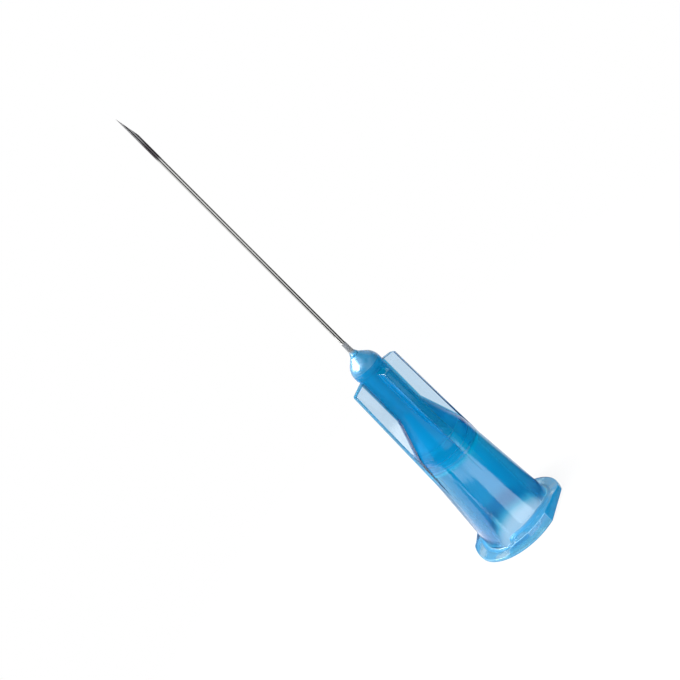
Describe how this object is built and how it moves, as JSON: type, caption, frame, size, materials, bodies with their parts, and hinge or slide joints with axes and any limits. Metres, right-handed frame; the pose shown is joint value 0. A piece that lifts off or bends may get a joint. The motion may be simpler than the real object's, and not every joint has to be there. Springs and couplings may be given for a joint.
{
  "type": "hypodermic needle",
  "caption": "Hypodermic needle: a clear blue plastic hub with fins and a lugged conical socket holds a fine hollow steel cannula with a ground lancet point.",
  "frame": {"origin": "centre of the socket's mouth, on the flat rear face of the flange that it stands on", "axes": "+Z along the tube towards its point; +X and +Y along the fins"},
  "size_m": [0.0078, 0.0078, 0.0398],
  "materials": {
    "hub_plastic": "clear blue-tinted injection moulding, glossy",
    "tube_steel": "drawn and polished stainless tube",
    "cured_resin": "clear cured resin, a little grey"
  },
  "bodies": {
    "root": {"hub": "hub_plastic", "cannula": "tube_steel", "adhesive": "cured_resin"}
  },
  "joints": []
}
